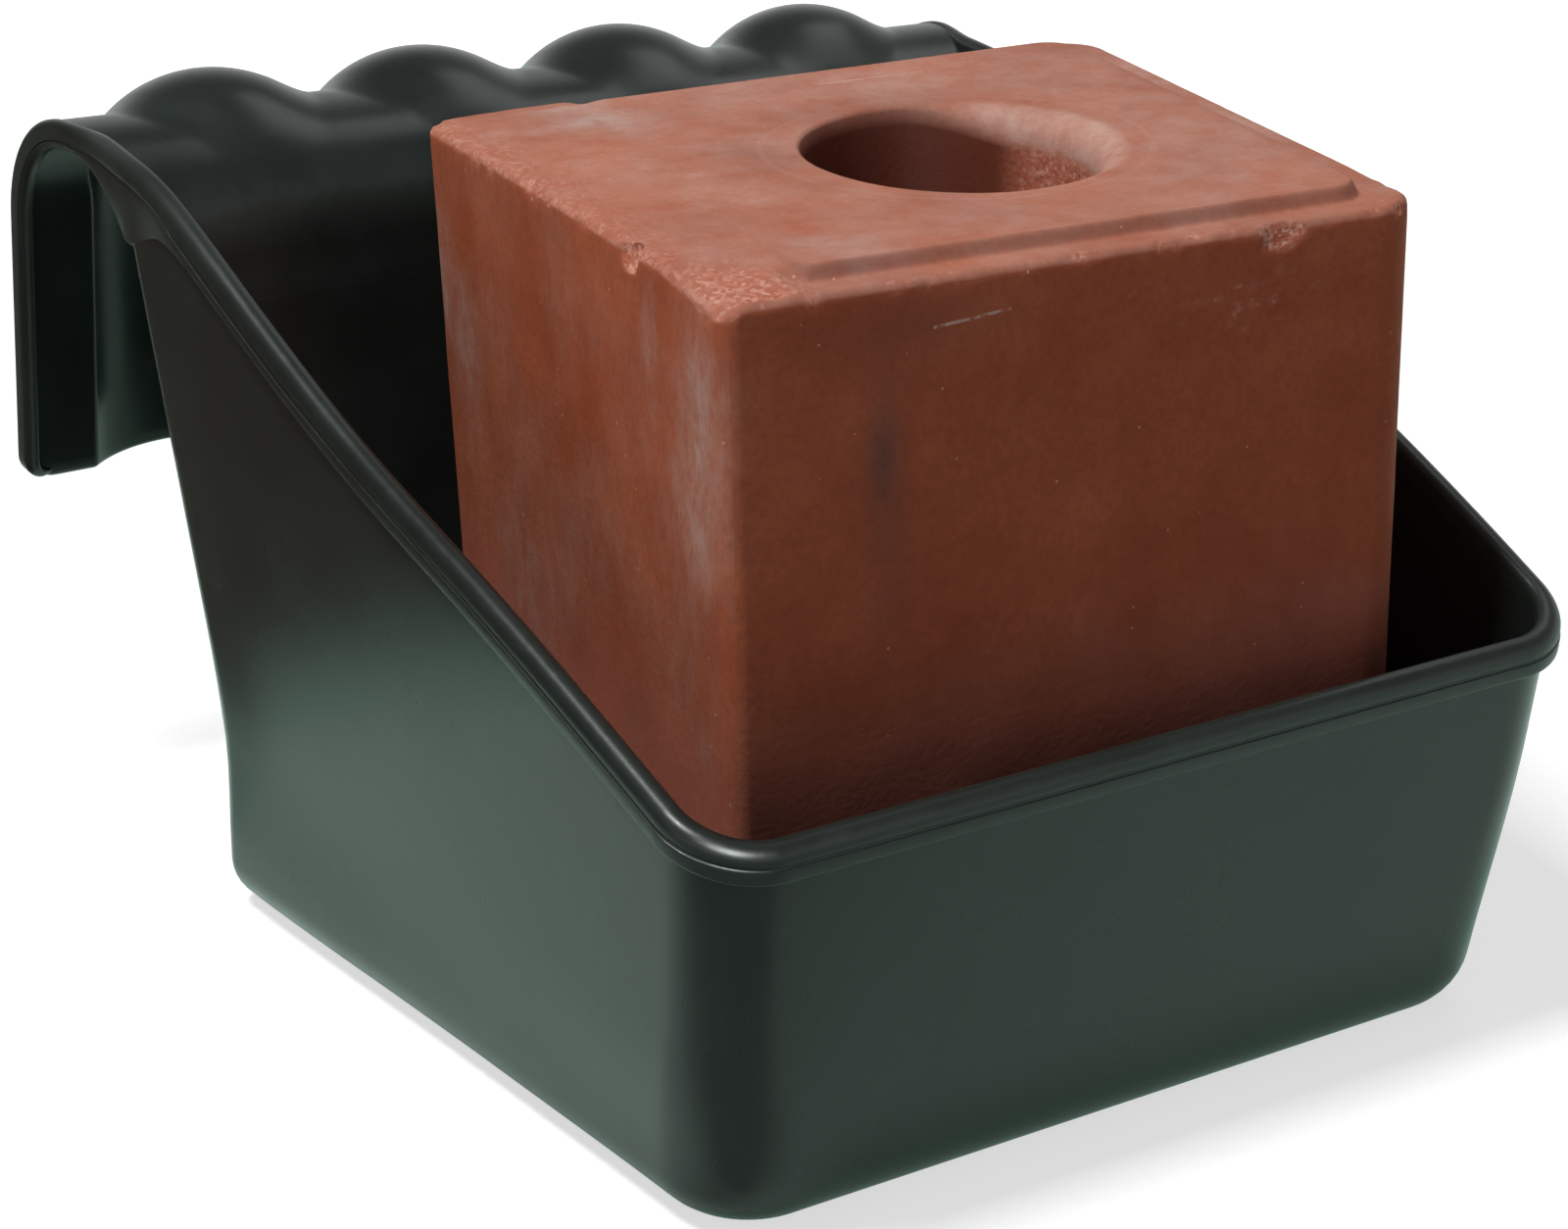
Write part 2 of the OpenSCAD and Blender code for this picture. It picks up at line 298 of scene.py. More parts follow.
def planPoints(z, grow, segment, share):
    # point of the plan loop at height z: even segments are straight sides, odd ones are corner arcs
    half, slope = tub["depth"] / 2, tub["planSlope"]
    turn = math.atan(slope)
    yBack = half + wallOffset(z, tub["backDraft"], grow)
    yFront = -half - wallOffset(z, tub["frontDraft"], grow)
    side = tub["width"] / 2 + wallOffset(z, tub["sideDraft"], grow)
    foot = 1.0 - smoothStep(0.0, tub["footFade"], z)
    rBack = np.maximum(cornerRadius(z, tub["backR"], grow) - tub["backFootLess"] * foot, 1.0)
    rFront = cornerRadius(z, tub["mouthR"], grow) + tub["frontFootMore"] * foot
    left, right = math.pi + turn, 2 * math.pi - turn
    arcs = []
    for sign, y, r, a0, a1 in ((-1, yBack, rBack, math.pi / 2, left), (-1, yFront, rFront, left, 1.5 * math.pi),
                               (1, yFront, rFront, 1.5 * math.pi, right), (1, yBack, rBack, right, 2.5 * math.pi)):
        n0, n1 = heading(a0), heading(a1)
        corner = np.stack([sign * (side + slope * y), y], -1)
        arcs.append((corner - r[..., None] * (n0 + n1) / (1.0 + n0 @ n1), r[..., None], a0, a1))
    out = np.zeros(z.shape + (2,))
    for i, (centre, r, a0, a1) in enumerate(arcs):
        before = arcs[i - 1]
        cols = segment == 2 * i
        t = share[cols][:, None]
        p0 = before[0][:, cols] + before[1][:, cols] * heading(before[3])
        p1 = centre[:, cols] + r[:, cols] * heading(a0)
        out[:, cols] = p0 + (p1 - p0) * t
        cols = segment == 2 * i + 1
        a = a0 + (a1 - a0) * share[cols]
        out[:, cols] = centre[:, cols] + r[:, cols] * np.stack([np.cos(a), np.sin(a)], -1)
    return out


def tubShell():
    # columns run round the plan, rows go from the underside's middle up the outside, over the edge and down inside
    counts = [tub["sideColumns"], tub["arcColumns"]] * 4
    segment = np.concatenate([np.full(n, i) for i, n in enumerate(counts)])
    share = np.concatenate([np.arange(n) / n for n in counts])
    # share of the way up to the rim: none along the back, under the hook sheet, and a step up round each back corner
    turned = np.where(segment == 1, share, 1.0 - share)
    stepUp = 0.4 * smoothStep(0.0, 0.12, turned) + 0.6 * smoothStep(0.5, 0.9, turned)
    toRim = np.where(segment % 6 == 1, stepUp, segment > 0)
    top, backTop = np.full((1, len(segment)), 150.0), tub["backTop"]
    for _ in range(tub["passes"]):   # the wall's place and the rim's height there follow each other
        y = planPoints(top, 0.0, segment, share)[..., 1]
        top = backTop + toRim * (rimHeight(y) - tub["underRim"] - backTop)
    r, wall, edge = tub["footR"], tub["wall"], tub["edgeR"]
    bend = angles(84.0, 11)
    rise = shares(tub["wallRows"])
    level, inward = np.zeros_like(top), tub["floorShares"]
    rows = [(part, level, 0.0) for part in inward]   # scale of the plan, heights and growth of the wall
    rows += [(1.0, level + r * (1.0 - math.cos(a)), 0.0) for a in bend]
    rows += [(1.0, r + (top - edge - r) * t, 0.0) for t in rise]
    rows += [(1.0, top, -edge), (1.0, top, -wall + edge)]
    rows += [(1.0, r + (top - edge - r) * t, -wall) for t in rise[::-1]]
    rows += [(1.0, level + r - (r - wall) * math.cos(a), -wall) for a in bend[::-1]]
    rows += [(part, level + wall, -wall) for part in inward[::-1]]
    grid = []
    for scale, z, grow in rows:
        xy = planPoints(z, grow, segment, share)[0] * scale
        grid.append(np.concatenate([xy, z[0][:, None]], -1))
    return np.stack(grid)


def ribReach(x, angle):
    # distance from the arch's middle out to a rib: a ball set up and back, carried down the skirt as a round bar
    half = (hook["ribs"] - 1) / 2
    nearest = np.clip(np.round(x / hook["ribPitch"] - 0.5) + 0.5, -half, half)
    across = np.maximum(hook["ribR"] ** 2 - (x - nearest * hook["ribPitch"]) ** 2, 0.0)
    shift, lean = hook["ribShift"], math.radians(hook["lean"])
    along = shift * (np.cos(angle) + np.sin(angle))
    ball = along + np.sqrt(np.maximum(along ** 2 - 2 * shift ** 2 + across, 0.0))
    bar = shift * (math.cos(lean) + math.sin(lean)) + np.sqrt(across)
    low = min(angle - lean, 1.2)   # the bar ends at the ball's own middle plane
    below = bar * math.tan(low) < shift * (math.cos(lean) - math.sin(lean))
    return np.where(below, bar / math.cos(low), ball)


def hookShell():
    # rows follow the sheet's section from the back wall over the arch, down the skirt and back underneath
    wall, archR, lean = tub["wall"], hook["archR"] + hook["archOver"], math.radians(hook["lean"])
    wallTilt = math.radians(tub["backDraft"])
    end, tuck, cornerR = hook["endX"] + hook["endOver"], hook["tuck"], hook["cornerR"]
    x = np.concatenate([[-end], np.linspace(-end, end, hook["columns"]), [end]])
    even = np.zeros(len(x))
    thick = even + wall
    thick[[0, -1]] = 0.0
    length = (hook["archZ"] + archR * math.sin(lean) - hook["foot"]) / math.cos(lean)
    over = np.maximum(np.abs(x) - (end - cornerR), 0.0)
    lengthAt = length - (cornerR - np.sqrt(np.maximum(cornerR ** 2 - over ** 2, 0.0)))
    legStart = math.pi - wallTilt
    rows = []   # direction angle, distance along the straight, distance from the arch's middle
    for t, dip in hook["leg"]:   # comes out of the wall at a flat angle
        rows.append((legStart, even + t, even + archR - dip, "leg"))
    for a in np.linspace(legStart, lean, hook["archRows"]):
        soft = hook["skirtFillet"] + (hook["ribFillet"] - hook["skirtFillet"]) * smoothStep(0.6, 1.4, a)
        behind = max(a - math.pi / 2, 0.0)
        full = 1.0 + hook["shoulder"] * math.sin(2.0 * behind) ** 2   # fuller over the tub's back wall
        rows.append((a, even, softMax(even + archR * full, ribReach(x, a), soft), "arch"))
    skirt = softMax(even + archR, ribReach(x, lean), hook["skirtFillet"])
    for t in shares(hook["skirtRows"]):
        rows.append((lean, t * (lengthAt - wall / 2), skirt, "skirt"))
    steps = {"leg": (-math.sin(wallTilt), -math.cos(wallTilt)), "arch": (0.0, 0.0),
             "skirt": (math.sin(lean), -math.cos(lean))}
    grid = []
    for sign, order in ((0.0, rows), (1.0, rows[::-1])):
        for a, t, reach, part in order:
            dive = hook["legDive"] if part == "leg" and sign and t[0] == hook["leg"][0][0] else 0.0
            d = reach - (wall - thick) / 2 - sign * (thick - dive * thick / wall)
            stepY, stepZ = steps[part]
            # its ends tuck behind the rim's flange, then inside the tub's round back corners
            narrow = tuck * smoothStep(1.6, 2.2, a) + (end - tuck - hook["legX"]) * smoothStep(2.45, 2.8, a)
            grid.append(np.stack([x * (1.0 - narrow / end), hook["archY"] + d * math.cos(a) + t * stepY,
                                  hook["archZ"] + d * math.sin(a) + t * stepZ], -1))
        if not sign:   # the round foot of the skirt
            for turn in np.radians((25.0, 57.0, 90.0, 123.0, 155.0)):
                d = skirt - wall / 2 + thick / 2 * math.cos(turn)
                t = lengthAt - wall / 2 + wall / 2 * math.sin(turn)
                grid.append(np.stack([x, hook["archY"] + d * math.cos(lean) + t * math.sin(lean),
                                      hook["archZ"] + d * math.sin(lean) - t * math.cos(lean)], -1))
    return np.stack(grid)


def rimPath():
    # left half of the rim's line: skirt corner, skirt end, arch end, sloped side, front corner and half the front
    archR, archY, archZ, lean = hook["archR"], hook["archY"], hook["archZ"], math.radians(hook["lean"])
    normal = np.array([0.0, math.cos(lean), math.sin(lean)])
    down = np.array([0.0, math.sin(lean), -math.cos(lean)])
    left = np.array([-1.0, 0.0, 0.0])
    start = np.array([0.0, archY, archZ]) + archR * normal
    length = (archZ + archR * math.sin(lean) - hook["foot"]) / math.cos(lean)
    outX, proud, r = hook["endX"], rim["beadProud"], hook["cornerR"]
    points, outward = [], []

    def add(line, away):
        points.append(line)
        outward.append(np.broadcast_to(away, line.shape))

    foot = np.linspace(outX + proud - r - 6.0, outX + proud - r, 6)[:-1]
    add(start + down * (length - proud) + left * foot[:, None], down)
    turn = angles(90.0, 9)[:, None]
    away = np.cos(turn) * down + np.sin(turn) * left
    add(start + down * (length - r) + left * (outX + proud - r) + (r - proud) * away, away)
    t = np.linspace(length - r, 0.0, 22)[1:]
    add(start + down * t[:, None] + left * outX, left)
    a = np.linspace(lean, math.pi / 2, 34)[1:]
    add(np.stack([np.full(len(a), -outX), archY + archR * np.cos(a), archZ + archR * np.sin(a)], -1), left)
    hookCount = sum(len(line) for line in points)
    # the side wall's rim, then the corner and the front from the plan loop
    segment = np.concatenate([[2], np.full(30, 3), np.full(20, 4)])
    share = np.concatenate([[1.0], shares(30), 0.5 * shares(20)])
    z = np.full((1, len(segment)), 130.0)
    for _ in range(tub["passes"]):
        xy = planPoints(z, 0.0, segment, share)[0]
        z = rimHeight(np.maximum(xy[:, 1], tub["rimFrontY"]))[None]
    y = np.linspace(archY, xy[0, 1], 130)[1:-1]
    zSide = rimHeight(y)
    sideX = -softMax(-wallAt(y, zSide), -outX + 0.0 * y, 4.0)
    ease = smoothStep(188.0, 156.0, y)[:, None]
    tilt = math.radians(tub["sideDraft"])
    add(np.stack([-sideX, y, zSide], -1), left + ease * np.array([0.0, -tub["planSlope"], -math.tan(tilt)]))
    turned = math.atan(tub["planSlope"])
    a = np.where(segment == 2, math.pi + turned, 1.5 * math.pi)
    arc = segment == 3
    a[arc] = (math.pi + turned) + (math.pi / 2 - turned) * share[arc]
    toFront = np.clip((a - math.pi) / (math.pi / 2), 0, 1)
    tilt = np.radians(tub["sideDraft"] + (tub["frontDraft"] - tub["sideDraft"]) * toFront)
    add(np.concatenate([xy, z[0][:, None]], -1), np.stack([np.cos(a), np.sin(a), -np.tan(tilt)], -1))
    return np.concatenate(points), np.concatenate(outward), len(foot), hookCount


def rimShell():
    # a section of bead, groove and lip carried along the line, with its depth grown into the hook's cheeks
    points, outward, footCount, hookCount = rimPath()
    points[:, 0] = -np.abs(points[:, 0])
    index = np.arange(len(points))
    y = points[:, 1]
    behind = index < hookCount   # skirt and arch end, behind the crest
    onHook = np.where(behind, 1.0, smoothStep(178.0, 199.0, y))
    onSide = smoothStep(176.0, 140.0, y) * ~behind
    early = smoothStep(-0.5, footCount + 7.0, index.astype(float))
    # depth of the band: lip foot on the tub, widening to the notch, then a circle up to the arch
    high = rimHeight(y)
    widen = smoothStep(100.0, rim["cheekY"], y) ** 1.7
    toNotch = rim["lipFoot"] + (rimHeight(rim["cheekY"]) - rim["cheekZ"] - rim["lipFoot"]) * widen
    midY, midZ = rim["cheekMiddle"]
    circle = high - (midZ + np.sqrt(np.maximum(rim["cheekR"] ** 2 - (y - midY) ** 2, 0.0)))
    foot = np.where(behind, rim["edgeDepth"], np.where(y < rim["cheekY"], toNotch, circle))
    inner = -4.06 + 3.26 * onHook   # just past the wall's inside, and just inside the hook's sheet
    innerFoot = 6.5 + (foot - 7.1) * np.where(behind, 1.0, smoothStep(138.0, 154.0, y))
    flush = smoothStep(112.0, 150.0, y) * smoothStep(199.0, 158.0, y) * ~behind
    lip = rim["beadProud"] + (rim["lipProud"] - rim["beadProud"]) * onSide
    dies = np.clip(wallAt(y, high) + points[:, 0] + 0.3, 0.3, lip)   # into the wall at the notch
    lip = lip + (dies - lip) * flush
    groove = rim["grooveDepth"] * smoothStep(172.0, 150.0, y) * ~behind
    crown = -0.5 * onHook
    bead = rim["beadProud"] + 0.0 * y
    rIn, rOut = 2.6 - 1.4 * onHook, 4.4 - 2.7 * onHook
    beadFoot = np.minimum(rim["beadHeight"] + 1.6 * np.exp(-((y - 75.0) / 40.0) ** 2), foot * 0.6)
    # the section, as distance outwards and distance down from the line
    section = [(inner + 0.6, innerFoot + 0.5), (inner, innerFoot), (inner, (innerFoot + crown + rIn) / 2)]
    for a in angles(90.0, 6):
        section.append((inner + rIn - rIn * math.cos(a), crown + rIn - rIn * math.sin(a)))
    for a in angles(90.0, 9):
        section.append((bead - rOut + rOut * math.sin(a), crown + rOut - rOut * math.cos(a)))
    for outBy, downBy in ((bead, -0.35), (bead - 0.25 * groove, -0.1), (bead - groove, 0.15), (bead - groove, 0.65),
                          (lip - 0.45 - 0.2 * groove, 0.85), (lip - 0.1, 1.1), (lip, 1.5)):
        section.append((outBy, beadFoot + downBy))
    soft = np.minimum(1.0 + 2.2 * smoothStep(118.0, 150.0, y), foot * 0.25)
    section.append((lip, (beadFoot + 1.5 + foot - soft) / 2))
    for a in angles(80.0, 5):
        section.append((lip - soft + soft * math.cos(a), foot - soft + soft * math.sin(a)))
    section.append((0.0 * y + 0.2, foot + 0.02))
    section.append((np.maximum(inner + 0.7, -1.0), foot + 0.02 + 0.3 * onSide))
    o, h = (np.stack(part, -1) for part in zip(*section))
    # the band grows out of the sheet at the skirt's corner
    o, h = o * early[:, None], 2.0 + (h - 2.0) * early[:, None]
    # the right half is the mirror of the left, walked back from the front
    mirror = np.array([-1.0, 1.0, 1.0])
    points = np.concatenate([points, points[-2::-1] * mirror])
    outward = np.concatenate([outward, outward[-2::-1] * mirror])
    o, h = np.concatenate([o, o[-2::-1]]), np.concatenate([h, h[-2::-1]])
    run = np.concatenate([[0.0], np.cumsum(np.linalg.norm(np.diff(points, axis=0), axis=1))])
    along = np.gradient(points, run, axis=0)
    along /= np.linalg.norm(along, axis=1, keepdims=True)
    outward = outward - np.sum(outward * along, 1, keepdims=True) * along
    outward /= np.linalg.norm(outward, axis=1, keepdims=True)
    down = np.cross(along, outward)
    grid = points[:, None] + o[..., None] * outward[:, None] + h[..., None] * down[:, None]
    ends = [np.repeat(grid[i].mean(0, keepdims=True), grid.shape[1], 0)[None] for i in (0, -1)]
    return np.concatenate([ends[0], grid, ends[1]])


def settle(grid):
    # the hook's twist, drop and flare, grown in from the tub's back wall and up from the skirt's foot
    x, y, z = np.moveaxis(grid, -1, 0)
    onRight = smoothStep(40.0, 120.0, x)   # where the rim has no swell and comes down to the hook earlier
    share = smoothStep(150.0 - 70.0 * onRight, 195.0, y)
    lower = (tub["drop"] + tub["twist"] * x) * share * smoothStep(115.0, 200.0, z)
    lower = lower + onRight * rimSwell(y) * smoothStep(150.0, 225.0, z)
    wide = x * (1.0 + tub["flare"] * (y - hook["archY"]) * share)
    # the tub's right side is turned out at the front, its left foot edge in at the front and out at the back
    ahead = smoothStep(20.0, -120.0, y)
    outBy, inBy = tub["rightTurn"]
    wide += smoothStep(60.0, 140.0, x) * (outBy * ahead - inBy * np.exp(-((y - 60.0) / 50.0) ** 2))
    low = smoothStep(-60.0, -120.0, x) * (1.0 - smoothStep(5.0, 60.0, z)) * (1.0 - share)
    inBy, outBy = tub["leftFoot"]
    wide += low * (inBy * ahead - outBy * smoothStep(-20.0, 130.0, y))
    return np.stack([wide, y, z - lower], -1)


tubGrid, hookGrid, rimGrid = (settle(shell) for shell in (tubShell(), hookShell(), rimShell()))
# how dull the skin is: the tub and the hook's underside are glossy, the hook's top is duller and the rim is rubbed
hookDull = np.where(np.arange(len(hookGrid)) > len(hookGrid) // 2, 0.0, 0.3)
rubbed = np.concatenate([np.zeros(tubGrid[..., 0].size), np.repeat(hookDull, hookGrid.shape[1]),
                         np.full(rimGrid[..., 0].size, 0.7)])
shells = [(tubGrid, False, True), (hookGrid, True, False), (rimGrid, False, True)]
hookTrough = makePiece("hookTrough", shells, {"rubbed": rubbed}, 0.02, 42.0)
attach(hookTrough, "trough")
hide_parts("hook_trough")


# Mineral block: pressed, with a raised panel, a flared blind hole and worn, chipped top edges

block = {
    "halfX": 108.0, "halfY": 103.0, "height": 247.0, "cornerR": 15.0, "sharpShare": 0.4,
    "bevel": 2.5, "footBevel": 8.0, "turn": -5.0, "place": (3.7, -17.0, 4.2),
    "panelX": 7.0, "panelY": -0.8, "panelHalfX": 86.5, "panelHalfY": 90.7, "panelR": 10.0, "panelH": 4.0,
    "riserRun": 3.0, "riserRows": (0.12, 0.3, 0.5, 0.7, 0.88, 1.0),
    "holeX": 11.0, "holeY": -4.7, "holeLong": 1.12, "mouthR": 44.0, "holeFootR": 31.0, "holeDepth": 92.0,
    "dishReach": 16.0, "dishRun": 12.0, "dishDepth": 0.7, "lipR": 1.7, "lipMore": 8.0,
    # how far the back corners, left then right, and the front right one stand out of square
    "skew": ((3.0, 7.0), (16.0, 3.5)), "frontIn": 2.5, "rise": 3.0,
    # per millimetre below the top: of the whole block, and of its back left edge
    "lean": 0.012, "taper": 0.026,
    "sideColumns": 88, "cornerColumns": 16,
}
# the rubbed left edge: its height at places from front to back
wornEdge = {
    "y": (-108.0, -92.0, -84.0, -66.0, -44.0, 11.0, 80.0, 95.0, 103.0),
    "z": (244.0, 245.5, 247.2, 249.2, 249.2, 250.0, 249.6, 249.0, 248.6),
}
# chips: middle and radius of a ball that has bitten into the block, and how coarse its broken face is
chips = [
    ((-117.0, -77.0, 255.0), 13.0, 1.2), ((-113.0, -97.0, 251.0), 9.0, 1.0), ((-95.0, -109.0, 250.0), 8.0, 1.0),
    ((60.5, -119.5, 248.5), 19.0, 0.7), ((74.0, -108.5, 250.5), 6.5, 0.5), ((-72.0, -107.5, 249.5), 6.0, 0.6),
    ((-52.0, -108.0, 250.5), 6.6, 0.6), ((-8.0, -108.5, 250.0), 6.6, 0.5), ((22.0, -108.5, 250.6), 6.8, 0.5),
    ((-113.5, 92.0, 253.0), 7.4, 0.9), ((-114.0, 40.0, 255.0), 8.5, 0.8), ((-114.0, -20.0, 255.0), 8.2, 0.8),
    ((-110.5, -50.0, 248.0), 6.5, 0.9), ((105.0, -111.0, 251.0), 13.5, 0.8),
]


def roundedLoop(halfX, halfY, r, midX, midY):
    # straight sides and quarter-circle corners, from the sharper front left corner round to it again
    sides, arcs = block["sideColumns"], block["cornerColumns"]
    t = (np.arange(sides) / sides)[:, None]
    a = np.arange(arcs) / arcs * math.pi / 2
    parts = []
    corners = ((1, -1, -math.pi / 2, r), (1, 1, 0.0, r), (-1, 1, math.pi / 2, r),
               (-1, -1, math.pi, r * block["sharpShare"]))
    for i, (sx, sy, a0, rHere) in enumerate(corners):
        px, py, _, rLast = corners[i - 1]
        out = heading(a0)
        begin = np.array([px * (halfX - rLast), py * (halfY - rLast)]) + rLast * out
        middle = np.array([sx * (halfX - rHere), sy * (halfY - rHere)])
        parts.append(begin + (middle + rHere * out - begin) * t)
        parts.append(middle + rHere * np.stack([np.cos(a0 + a), np.sin(a0 + a)], -1))
    return np.concatenate(parts) + np.array([midX, midY])


def blockShell():
    # rows: underside, foot bevel, sides, worn top edge, border, riser, panel, flared hole and its floor
    b = block
    top, rows, kinds = b["height"], [], []   # kinds: 0 underside, 1 sides, 2 border, 3 panel, 4 hole

    def ring(loop, z, kind):
        rows.append(np.column_stack([loop, np.broadcast_to(z, len(loop))]))
        kinds.append(kind)

    def bodyLoop(inset, share=1.0):
        halves = ((b[key] - inset) * share for key in ("halfX", "halfY", "cornerR"))
        return roundedLoop(*halves, 0.0, 0.0)

    def panelLoop(grow):
        halves = (b[key] + grow for key in ("panelHalfX", "panelHalfY", "panelR"))
        return roundedLoop(*halves, b["panelX"], b["panelY"])

    foot, bevel, run = b["footBevel"], b["bevel"], b["riserRun"]
    for share in (0.0, 0.5, 1.0):
        ring(bodyLoop(foot, share), 0.0, 0)
    for z in np.concatenate([np.linspace(foot, 214.0, 44), np.linspace(214.0, top - bevel, 27)[1:]]):
        ring(bodyLoop(0.0), z, 1)
    for a in np.radians((22.0, 45.0, 68.0, 90.0)):
        ring(bodyLoop(bevel * (1.0 - math.cos(a))), top - bevel * (1.0 - math.sin(a)), 2)
    border, riserFoot = rows[-1][:, :2], panelLoop(run)
    for t in shares(16):
        ring(border + (riserFoot - border) * t, top, 2)
    for t in b["riserRows"]:
        ring(panelLoop(run * (1.0 - t)), top + b["panelH"] * (t * t * (3.0 - 2.0 * t)), 2)
    panel = rows[-1][:, :2]
    hole = np.array([b["holeX"], b["holeY"]])
    ray = panel - hole
    ray = ray / np.linalg.norm(ray, axis=1, keepdims=True) * np.array([1.0, b["holeLong"]])
    high, mouth, dish, reach = top + b["panelH"], b["mouthR"], b["dishDepth"], b["dishReach"]
    outer = hole + ray * (mouth + reach)
    for t in shares(24):
        ring(panel + (outer - panel) * t, high, 3)
    for t in shares(8):   # a shallow dish round the mouth
        ring(hole + ray * (mouth + reach - b["dishRun"] * t), high - dish * math.sin(t * math.pi / 2) ** 2, 3)
    lip = b["lipR"] + b["lipMore"] * smoothStep(0.1, 0.95, ray[:, 0])[:, None]
    for a in angles(80.0, 9):   # rounded lip, widest on the right
        ring(hole + ray * (mouth + 0.4 * lip - lip * math.sin(a)), high - dish - lip[:, 0] * (1.0 - math.cos(a)), 3)
    lipIn, lipZ = mouth - 0.585 * lip, high - dish - 0.826 * lip[:, 0]   # where the lip's arc ends
    for t in shares(21):
        ring(hole + ray * (lipIn + (b["holeFootR"] - lipIn) * t), lipZ + (high - b["holeDepth"] - lipZ) * t, 4)
    for share in (0.9, 0.6, 0.0):
        ring(hole + ray * b["holeFootR"] * share, high - b["holeDepth"] - 3.0 * (1.0 - share), 4)
    return np.stack(rows), np.array(kinds)


def wearBlock(grid, kinds):
    # broken and rubbed edges: a sloped left border, rough edge noise, then the chips; returns how raw each point is
    b = block
    p = grid.copy()
    x, y, z = p[..., 0], p[..., 1], p[..., 2]
    kind = kinds[:, None]
    coarse, mid, fine = valueNoise(p, 16.0, 3), valueNoise(p, 5.0, 7), valueNoise(p, 2.2, 11)
    high = b["height"] + b["panelH"]
    # the left border is rubbed to one slope from the panel down to a wavy edge
    edgeZ = np.interp(y, wornEdge["y"], wornEdge["z"])
    leftEdge = b["panelX"] - b["panelHalfX"]
    across = np.clip((leftEdge - x) / (b["halfX"] + leftEdge), 0.0, 1.0)
    back = high - 2.2 * smoothStep(84.0, 97.0, y)
    slope = back - np.maximum(back - edgeZ, 0.0) * across + (0.35 * mid + 0.3 * fine) * smoothStep(0.1, 0.6, across)
    cornerPlane = high - 0.125 * (-79.0 - x) - 0.27 * (-90.0 - y) + 0.5 * mid + 0.45 * fine
    slope = np.where(y < -70.0, np.minimum(slope, cornerPlane), slope)
    onTop = (kind == 2) & (z > b["height"] - 0.05)
    # the front border keeps its step
    startX = leftEdge - 9.0 * smoothStep(-84.0, -92.0, y) + 14.0 * smoothStep(78.0, 90.0, y)
    wornShare = smoothStep(startX + 10.0, startX + 0.5, x) * onTop
    z += (slope - z) * wornShare
    rolled = (kind == 2) & ~onTop
    lift = np.where((kind <= 2) & ~onTop, edgeZ - b["height"], 0.0)
    z += lift * smoothStep(-100.0, -106.5, x) * smoothStep(226.0, 245.0, grid[..., 2])
    rawAndPaintedLight = np.where(onTop, wornShare * smoothStep(0.35, 0.95, across) * (0.45 + 0.4 * mid), 0.0)
    corner = np.hypot((x + 104.0) / 24.0, (y + 98.0) / 26.0)
    rawAndPaintedLight = np.maximum(rawAndPaintedLight, np.where(onTop, smoothStep(1.15, 0.5, corner + 0.3 * mid) * 0.9, 0.0))
    rawAndPaintedLight = np.maximum(rawAndPaintedLight, np.where(rolled, 0.5, 0.0) * smoothStep(-100.0, -106.0, x))
    # the outer top edge is rough all the way round
    toX, toY = b["halfX"] - np.abs(x), b["halfY"] - np.abs(y)
    toSide = np.minimum(toX, toY)
    toTop = np.abs(np.where(kind <= 2, grid[..., 2], 0.0) - b["height"])
    near = np.exp(-((toSide - 0.7) ** 2 + (toTop - 0.7) ** 2) / 9.0) * (kind <= 2)
    front = np.clip(smoothStep(-60.0, -100.0, y) + smoothStep(-70.0, -105.0, x), 0.0, 1.0)
    cut = near * np.clip(0.25 + 0.55 * mid + 0.6 * fine + 0.8 * coarse, 0.0, 2.0) * (0.06 + 0.94 * front)
    inward = np.stack([-np.sign(x) * (toX < toY), -np.sign(y) * (toX >= toY), -0.7 + 0.0 * x], -1)
    p += inward * cut[..., None]
    rawAndPaintedLight = np.maximum(rawAndPaintedLight, smoothStep(0.25, 0.9, cut))
    for centre, r, rough in chips:
        away = p - np.array(centre)
        gap = np.linalg.norm(away, axis=-1)
        reach = r + rough * (0.6 * mid + 0.5 * fine)
        bite = np.where(kind <= 3, np.maximum(reach - gap, 0.0), 0.0)
        p += away / np.maximum(gap, 1e-6)[..., None] * bite[..., None]
        rawAndPaintedLight = np.maximum(rawAndPaintedLight, smoothStep(0.05, 0.6, bite))
    # pressed faces are never quite flat
    p[..., 0] += 0.22 * coarse * (kind == 1) * (np.abs(np.abs(x) - b["halfX"]) < 2.0)
    p[..., 1] += 0.22 * coarse * (kind == 1) * (np.abs(np.abs(y) - b["halfY"]) < 2.0)
    p[..., 2] += 0.18 * coarse * (kind == 3)
    return p, rawAndPaintedLight


def spots(p, places):
    # soft oval patches: the sum of bell curves with their own middles and half widths
    total = np.zeros(p.shape[:-1])
    for centre, size, strength in places:
        q = (p - np.array(centre)) / np.array(size)
        total += strength * np.exp(-np.sum(q * q, -1))
    return total


grid, kinds = blockShell()
worn, rawAndPaintedLight = wearBlock(grid, kinds)
x, y, z = np.moveaxis(grid, -1, 0)
onSides, onBorder, onPanel, inHole = (kinds[:, None] == kind for kind in (1, 2, 3, 4))
cloud = valueNoise(grid, 22.0, 21) * 0.6 + valueNoise(grid, 8.0, 23) * 0.4
